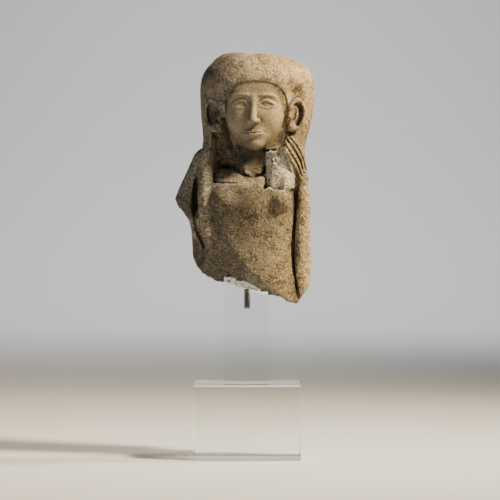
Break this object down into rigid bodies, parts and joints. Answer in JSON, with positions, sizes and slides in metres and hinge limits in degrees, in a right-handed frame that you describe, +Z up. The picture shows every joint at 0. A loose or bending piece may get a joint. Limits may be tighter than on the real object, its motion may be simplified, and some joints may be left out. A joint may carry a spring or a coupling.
{
  "type": "mounted stone bust",
  "caption": "Broken limestone bust of a figure in a long smooth wig, a hand raised to its side, held on a steel rod by a clear acrylic column and block.",
  "frame": {"origin": "centre of the block's underside", "axes": "+Z up, -Y towards the face, +X towards the raised hand"},
  "size_m": [0.1421, 0.1082, 0.4101],
  "materials": {
    "limestone": "worn, rasped limestone with a brown patina",
    "steel": "dark threaded rod",
    "acrylic": "clear polished acrylic"
  },
  "bodies": {
    "root": {"bust": "limestone", "steel_rod": "steel", "acrylic_column": "acrylic", "acrylic_block": "acrylic"}
  },
  "joints": []
}
